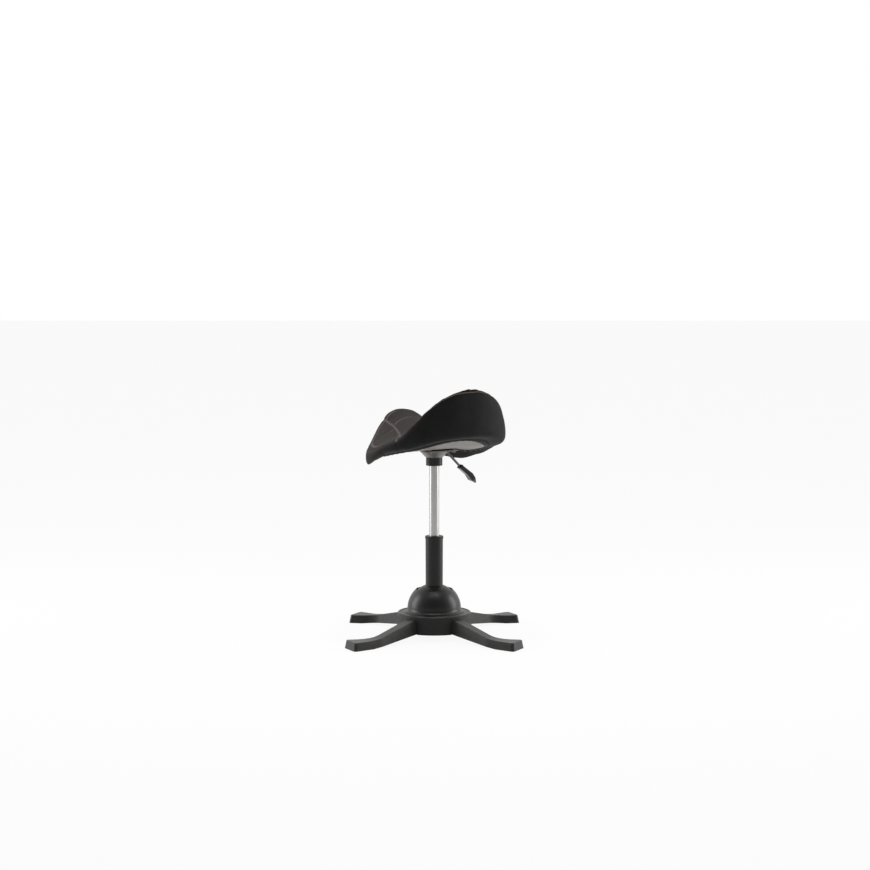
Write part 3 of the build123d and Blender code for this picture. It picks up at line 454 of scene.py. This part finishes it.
def softened(piece, rounds, weights=None):
    """Smooth a piece, all over or where weights say."""
    smoother = piece.modifiers.new("soften", "SMOOTH")
    smoother.factor = 0.5
    smoother.iterations = rounds
    if weights is not None:
        area = piece.vertex_groups.new(name="softened")
        for k in np.flatnonzero(weights > 0.01):
            area.add([int(k)], float(weights[k]), "REPLACE")
        smoother.vertex_group = "softened"
    applied(piece)
    piece.vertex_groups.clear()


softened(cushion, FIRST_ROUNDS)
start, facing = surface_of(cushion.data)
inward = round_the_rim(start)[1]
underneath = 1 - eased(facing[:, 2], -0.2, 0.2)
softened(cushion, EDGE_ROUNDS, np.maximum(1 - eased(inward, *EDGE_BAND),
                                          UNDER_SHARE * underneath * (1 - eased(inward, *UNDER_BAND))))
for rounds in SETTLE_ROUNDS:
    start, _ = surface_of(cushion.data)
    start[:, 2] += edge_pull(start, 1, CREST_BAND) + edge_pull(start, -1, FOOT_BAND)
    start[:, :2] *= girth_push(start)[:, None]
    settle(cushion.data, start)
    softened(cushion, rounds)

# The panels are stuffed: pressure swells the cover where it isn't held by the skirt, the rim or a sewn line.
start, facing = surface_of(cushion.data)
inward = round_the_rim(start)[1]
from_line = gap_to(start[:, :2], sewn_lines)
held = (facing[:, 2] < HELD_SLOPE) | (from_line < HELD_LINE) | (inward < HELD_RIM)
grip = cushion.vertex_groups.new(name="sewn_down")
grip.add([int(k) for k in np.flatnonzero(held)], 1.0, "REPLACE")
cloth = cushion.modifiers.new("stuffing", "CLOTH")
cloth.settings.use_pressure = True
cloth.settings.uniform_pressure_force = STUFFING_PRESSURE
cloth.settings.effector_weights.gravity = 0.0
cloth.settings.vertex_group_mass = "sewn_down"
cloth.point_cache.frame_start = 1
cloth.point_cache.frame_end = STUFFING_FRAMES
for step in range(1, STUFFING_FRAMES + 1):
    bpy.context.scene.frame_set(step)
applied(cushion)
bpy.context.scene.frame_set(1)
moved, _ = surface_of(cushion.data)
shift = moved - start
length = np.linalg.norm(shift, axis=1)
taper = eased(inward, HELD_RIM, PUFF_FULL) * np.minimum(1, PUFF / np.maximum(length, 1e-6))
settle(cushion.data, start + shift * taper[:, None])
finer = cushion.modifiers.new("finer", "SUBSURF")
finer.levels = finer.render_levels = 1
applied(cushion)

# The channels and seams are pressed in, and masks for the cover's two cloths go into attributes.
places, facing = surface_of(cushion.data)
from_line = gap_to(places[:, :2], sewn_lines)
angle = np.abs(np.arctan2(places[:, 0], places[:, 1]))
on_top = eased(facing[:, 2], RIM_SLOPE - SLOPE_BAND, RIM_SLOPE + SLOPE_BAND)
channel = (1 - eased(from_line, 0.0, CHANNEL_HALF)) * on_top
near_rim = np.hypot(places[:, 0], places[:, 1]) > rim_reach(angle) - RIM_BAND
rim_seam = 1 - eased(np.abs(facing[:, 2] - RIM_SLOPE), 0.03, 0.16)
rim_seam = rim_seam * near_rim * (angle < SKIRT_SEAM)
side_seam = (1 - eased(np.abs(angle - SKIRT_SEAM) * rim_reach(angle), 0.0005, 0.003)) * (1 - on_top)
sunk = CHANNEL_DEPTH * channel + RIM_SEAM_DEPTH * rim_seam + SKIRT_SEAM_DEPTH * side_seam
places = places - sunk[:, None] * facing
settle(cushion.data, places)
wrap = np.where(on_top > 0.5, places[:, 0], angle * REACH)
rise = np.where(on_top > 0.5, places[:, 1], places[:, 2])
for name, values in (("top_panel", on_top), ("channel", channel), ("rim_seam", rim_seam), ("side_seam", side_seam)):
    cushion.data.attributes.new(name, "FLOAT", "POINT").data.foreach_set("value", values.astype(np.float32))
thread_way = np.column_stack((wrap, rise, np.zeros(len(wrap)))).astype(np.float32)
cushion.data.attributes.new("thread_way", "FLOAT_VECTOR", "POINT").data.foreach_set("vector", thread_way.ravel())
cushion.data.polygons.foreach_set("use_smooth", np.ones(len(cushion.data.polygons), dtype=bool))

cover = Finish("saddle_cover", Specular_IOR_Level=0.15)


def mask(name, output=2):
    """A tone from one of the cushion's own attributes."""
    return cover.place.node("ShaderNodeAttribute", {"attribute_name": name}, {}, output)


THREADS = 2 * pi / THREAD_PITCH
warp = mask("thread_way", 1).node("ShaderNodeSeparateXYZ", {}, {0: mask("thread_way", 1)}, 0)
weft = mask("thread_way", 1).node("ShaderNodeSeparateXYZ", {}, {0: mask("thread_way", 1)}, 1)
over = warp.sum("SINE", warp * THREADS) * weft.sum("SINE", weft * THREADS)
mottle = cover.place.speckle(22.0, 4.0, 0.6)
fuzz = cover.place.speckle(700.0, 3.0, 0.7)
weave = 0.5 + 0.3 * over + 0.35 * (fuzz - 0.5) + 0.3 * (mottle - 0.5)
mesh_shade = weave.between(srgb(36, 33, 32), srgb(65, 60, 58))
sewn_shade = (0.5 + 0.4 * (fuzz - 0.5)).between(srgb(88, 82, 79), srgb(112, 105, 102))
skirt_shade = mottle.ease(0.3, 0.7).between(srgb(19, 18, 18), srgb(27, 25, 25))
top_shade = (0.85 * mask("channel").ease(0.25, 0.7)).between(mesh_shade, sewn_shade)
cloth_shade = mask("top_panel").ease(0.35, 0.65).between(skirt_shade, top_shade)
piped = (0.2 * mask("rim_seam").ease(0.4, 0.9)).between(cloth_shade, srgb(84, 76, 71))
seamed = (0.7 * mask("side_seam").ease(0.2, 0.8)).between(piped, srgb(14, 14, 14))
cover.feed(Base_Color=seamed, Roughness=0.62 + 0.22 * mask("top_panel") + 0.12 * (fuzz - 0.5))
cover.bump(over * mask("top_panel") + 0.5 * fuzz, 0.00025)
cushion.data.materials.clear()
cushion.data.materials.append(cover.material)
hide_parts("seat_cushion")
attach(cushion, "seat")

# Stitching: doubled polyester thread that holds the channels down, one row along each side of a channel.
# Every stitch is a small bead of thread lying on the cloth, pulled a little way into it.
STITCH_PITCH, STITCH_LENGTH, STITCH_THICK = 0.0052, 0.0038, 0.0009
STITCH_ASIDE = CHANNEL_HALF * 0.75       # of each row from its channel's middle
ABOVE_SEAT = 1.2         # height from which the cover is felt for
cushion_hull = BVHTree.FromPolygons([tuple(v.co) for v in cushion.data.vertices],
                                    [tuple(p.vertices) for p in cushion.data.polygons])


def on_cover(plan):
    """Where the cover lies over a plan point of the seat's frame, and its normal there."""
    x, y = np.array(plan) @ seat_turn[:2, :2]
    place, normal, _, _ = cushion_hull.ray_cast(Vector((x, y, ABOVE_SEAT)), Vector((0, 0, -1)))
    return place, normal


def walk(line, pitch):
    """Evenly spaced plan points along a line, each with its direction."""
    steps = np.linalg.norm(np.diff(line, axis=0), axis=1)
    along = np.concatenate(([0], np.cumsum(steps)))
    for s in np.arange(pitch / 2, along[-1], pitch):
        k = min(np.searchsorted(along, s, side="right") - 1, len(steps) - 1)
        way = (line[k + 1] - line[k]) / steps[k]
        yield line[k] + way * (s - along[k]), way


stitches = bmesh.new()
for line in sewn_lines:
    for point, way in walk(line, STITCH_PITCH):
        for offset in (-STITCH_ASIDE, STITCH_ASIDE):
            plan = point + offset * np.array((-way[1], way[0]))
            place, normal = on_cover(plan)
            if place is None or normal.z < RIM_SLOPE:
                continue
            run = Vector((*(way @ seat_turn[:2, :2]), 0.0))
            run = (run - normal * run.dot(normal)).normalized()
            basis = Matrix((run, normal.cross(run), normal)).transposed().to_4x4()
            size = Matrix.Diagonal((STITCH_LENGTH / 2, STITCH_THICK / 2, STITCH_THICK / 2, 1.0))
            bmesh.ops.create_icosphere(stitches, subdivisions=1, radius=1.0,
                                       matrix=Matrix.Translation(place) @ basis @ size)
stitching = placed("channel_stitching", stitches)
thread = moulded("sewing_thread", srgb(84, 78, 75), srgb(112, 105, 101), 0.7, 3000.0)
stitching.data.materials.append(thread.material)
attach(stitching, "seat")

# Piping: a thin cord in a strip of brown cover cloth, sewn into the seam round the rear rim.
# It is laid along the edge where the top panel turns down into the skirt.
PIPING_R = 0.0016
PIPING_OUT = 0.003       # outwards from the rim's crest
PIPING_LIFT = 0.0006     # of its middle above the cover
PIPING_FROM, PIPING_STEP = 134, 2        # degrees from the front
PIPING_ENDS = (0.004, 0.003, 0.0018, 0.0008)     # how deep its ends are sunk
CREST_INSETS = np.arange(0.001, 0.024, 0.001)    # where the crest is looked for
CREST_EVENED = 7         # number of places over which it is evened out
piping_path = bpy.data.curves.new("rear_piping", "CURVE")
piping_path.dimensions = "3D"
piping_path.bevel_depth = PIPING_R
piping_path.bevel_resolution = 2
laid = []
for side, angles in ((-1, range(PIPING_FROM, 180, PIPING_STEP)), (1, range(180, PIPING_FROM - 1, -PIPING_STEP))):
    crests = []
    for degrees_round in angles:
        hits = [on_cover(rim_place(degrees_round, inset, side))[0] for inset in CREST_INSETS]
        heights = [hit.z if hit is not None else 0.0 for hit in hits]
        crests.append(CREST_INSETS[int(np.argmax(heights))])
    crests = np.convolve(np.pad(crests, CREST_EVENED // 2, mode="edge"), np.ones(CREST_EVENED) / CREST_EVENED, "valid")
    for degrees_round, crest in zip(angles, crests):
        place, normal = on_cover(rim_place(degrees_round, max(crest - PIPING_OUT, CREST_INSETS[0]), side))
        laid.append(place + PIPING_LIFT * normal)
for k, sunk_by in enumerate(PIPING_ENDS):
    for end in (k, -1 - k):
        laid[end] = laid[end] - Vector((0, 0, sunk_by))
for _ in range(3):
    laid = [laid[0]] + [(a + 2 * b + c) / 4 for a, b, c in zip(laid, laid[1:], laid[2:])] + [laid[-1]]
run = piping_path.splines.new("POLY")
run.points.add(len(laid) - 1)
for knot, place in zip(run.points, laid):
    knot.co = (*place, 1.0)
piping = bpy.data.objects.new("rear_piping", piping_path)
bpy.context.scene.collection.objects.link(piping)
piping_mesh = bpy.data.meshes.new_from_object(piping.evaluated_get(bpy.context.evaluated_depsgraph_get()))
bpy.data.objects.remove(piping)
piping = bpy.data.objects.new("rear_piping", piping_mesh)
bpy.context.scene.collection.objects.link(piping)
piping_cloth = moulded("piping_cloth", srgb(60, 53, 49), srgb(84, 75, 69), 0.7, 1800.0, 0.0002)
piping_mesh.materials.clear()
piping_mesh.materials.append(piping_cloth.material)
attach(piping, "seat")

# Hem: the cover's raw edge, folded over the pan's rim and stapled to the pan's underside.
# It is a strip of the skirt cloth with a frayed inner edge, held by steel staples all round.
HEM_OUT, HEM_IN, HEM_DOWN, HEM_THICK = 0.157, 0.143, 0.0010, 0.0009
FRAY = ((0.0012, 61, 0.0), (0.0009, 143, 1.0))       # height, count and start of its waves
STAPLE_COUNT, STAPLE_R, STAPLE_DOWN = 44, 0.1475, 0.0011
STAPLE_SIZE, STAPLE_BEVEL, STAPLE_SKEW = (0.0105, 0.0013, 0.0008), 0.0003, 0.3
BELOW_SEAT = 0.3         # height from which the underside is felt for
pan_hull = BVHTree.FromObject(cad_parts["seat_pan"], bpy.context.evaluated_depsgraph_get())


def under_seat(x, y):
    """Height of the lowest of pan and cover over a place, in the world's frame."""
    heights = []
    for hull in (cushion_hull, pan_hull):
        hit = hull.ray_cast(Vector((x, y, BELOW_SEAT)), Vector((0, 0, 1)))[0]
        if hit is not None:
            heights.append(hit.z)
    return min(heights)


hem = bmesh.new()
bmesh.ops.create_grid(hem, x_segments=180, y_segments=5, size=1.0)
for vert in hem.verts:
    turn = vert.co.x * pi
    fray = sum(height * sin(turn * count + start) for height, count, start in FRAY)
    radius = HEM_IN + (HEM_OUT - HEM_IN) * (vert.co.y + 1) / 2 + (fray if vert.co.y < -0.9 else 0.0)
    x, y = radius * cos(turn), radius * sin(turn)
    vert.co = (x, y, under_seat(x, y) - HEM_DOWN)
bmesh.ops.remove_doubles(hem, verts=hem.verts, dist=1e-5)
for _ in range(2):
    bmesh.ops.smooth_vert(hem, verts=hem.verts, factor=0.4, use_axis_z=True)
bmesh.ops.recalc_face_normals(hem, faces=hem.faces)
bmesh.ops.solidify(hem, geom=hem.faces[:], thickness=HEM_THICK)
hem_strip = placed("stapled_hem", hem)
hem_cloth = moulded("hem_cloth", srgb(24, 23, 23), srgb(46, 43, 42), 0.8, 2200.0, 0.0005)
hem_strip.data.materials.append(hem_cloth.material)
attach(hem_strip, "seat")

staples = bmesh.new()
for k in range(STAPLE_COUNT):
    turn = 2 * pi * (k + 0.5) / STAPLE_COUNT
    x, y = STAPLE_R * cos(turn), STAPLE_R * sin(turn)
    skewed = turn + pi / 2 + STAPLE_SKEW * sin(7 * k)
    lie = (Matrix.Translation((x, y, under_seat(x, y) - HEM_DOWN - STAPLE_DOWN))
           @ Matrix.Rotation(skewed, 4, "Z"))
    wire = bmesh.ops.create_cube(staples, size=1.0, matrix=lie @ Matrix.Diagonal((*STAPLE_SIZE, 1.0)))
    edges = list({e for v in wire["verts"] for e in v.link_edges})
    bmesh.ops.bevel(staples, geom=edges, offset=STAPLE_BEVEL, segments=1, profile=0.5, affect="EDGES",
                    material=-1)
staple_row = placed("hem_staples", staples)
staple_row.data.materials.append(zinc.material)
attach(staple_row, "seat")

# Height lever: a bent rod of dull plated steel that turns on a pin under the plate and presses the gas valve.
# Its paddle is a gloss black moulding with broad facets, closed by a plain cap where the rod goes in.
rod_steel = turned_metal("rod_steel", srgb(84, 83, 81), srgb(112, 110, 107), 0.34)
dress(rod_steel, "lever_rod")
gloss = moulded("paddle_gloss", srgb(13, 13, 13), srgb(18, 17, 17), 0.12, 300.0, 0.00002,
                Coat_Weight=0.5, Coat_Roughness=0.05)
dress(gloss, "lever_handle")
cap_black = moulded("end_cap_black", srgb(17, 17, 17), srgb(24, 24, 24), 0.4, 900.0)
dress(cap_black, "lever_end_cap")

# Studio: a pale floor under soft light from both sides and from above, seen from the front.
# The camera sees floor and sky as white; what they light and mirror is dim in front and bright behind.
FLOOR_SIDE, FLOOR_GLOW, FLOOR_MIRRORED = 14.0, 0.92, 0.35
SKY_FRONT, SKY_BEHIND, WHITE = (0.16,) * 3, (0.7,) * 3, (1.0,) * 3
SENSOR_WIDTH = 36.0
LIGHT_AIM = Vector((0, 0, 0.4))
SOFTBOXES = (("left_softbox", Vector((-2.8, 0.4, 0.9)), (1.2, 2.2), 34.0),
             ("right_softbox", Vector((2.8, 0.4, 0.9)), (1.2, 2.2), 34.0),
             ("top_softbox", Vector((0, -0.4, 3.2)), (1.8, 1.8), 55.0))      # place, size and power
CAMERA_PLACE = Vector((0.0, -7.742, 1.3897))
CAMERA_AIM = Vector((0.00226, 0.0, 0.5722))
CAMERA_LENS = 114.284
RAY_KINDS = ("Is Camera Ray", "Is Glossy Ray", "Is Transmission Ray")

floor_mesh = bmesh.new()
bmesh.ops.create_grid(floor_mesh, x_segments=1, y_segments=1, size=FLOOR_SIDE)
floor = placed("studio_floor", floor_mesh)
paper = Finish("studio_paper", Roughness=0.9, Specular_IOR_Level=0.0)
paper.feed(Base_Color=paper.place.speckle(0.7).between(srgb(228, 228, 228), srgb(232, 232, 232)))
glow = paper.tree.nodes.new("ShaderNodeEmission")
rays = paper.tree.nodes.new("ShaderNodeLightPath").outputs
path, shine, through = [Tone(paper.tree, rays[kind]) for kind in RAY_KINDS]
mirrored = path.sum("MAXIMUM", shine, through)
shown = path.sum("MAXIMUM", path * FLOOR_GLOW, mirrored * FLOOR_MIRRORED)
lit = path.node("ShaderNodeMixShader", {}, {0: shown, 2: Tone(paper.tree, glow.outputs[0])})
paper.tree.links.new(paper.base.outputs[0], lit.socket.node.inputs[1])
paper.tree.links.new(lit.socket, paper.tree.nodes["Material Output"].inputs["Surface"])
floor.data.materials.append(paper.material)

world = bpy.data.worlds.new("studio")
bpy.context.scene.world = world
world.use_nodes = True
sky = world.node_tree
direction = Tone(sky, sky.nodes.new("ShaderNodeTexCoord").outputs["Generated"])
depth = direction.node("ShaderNodeSeparateXYZ", {}, {0: direction}, 1)
rays = sky.nodes.new("ShaderNodeLightPath").outputs
path, shine, through = [Tone(sky, rays[kind]) for kind in RAY_KINDS]
behind = path.sum("MAXIMUM", shine, through).between(SKY_BEHIND, WHITE)
seen = path.between(depth.ease(-1.0, 0.7).between(SKY_FRONT, behind), WHITE)
sky.links.new(seen.socket, sky.nodes["Background"].inputs["Color"])

for name, place, size, power in SOFTBOXES:
    lamp = bpy.data.lights.new(name, "AREA")
    lamp.shape = "RECTANGLE"
    lamp.size, lamp.size_y = size
    lamp.energy = power
    softbox = bpy.data.objects.new(name, lamp)
    bpy.context.scene.collection.objects.link(softbox)
    softbox.location = place
    softbox.rotation_euler = (LIGHT_AIM - place).to_track_quat("-Z", "Y").to_euler()

lens = bpy.data.cameras.new("photo_camera")
lens.lens = CAMERA_LENS
lens.sensor_width = SENSOR_WIDTH
camera = bpy.data.objects.new("photo_camera", lens)
bpy.context.scene.collection.objects.link(camera)
camera.location = CAMERA_PLACE
camera.rotation_euler = (CAMERA_AIM - CAMERA_PLACE).to_track_quat("-Z", "Y").to_euler()
bpy.context.scene.camera = camera
bpy.context.scene.view_settings.view_transform = "Standard"
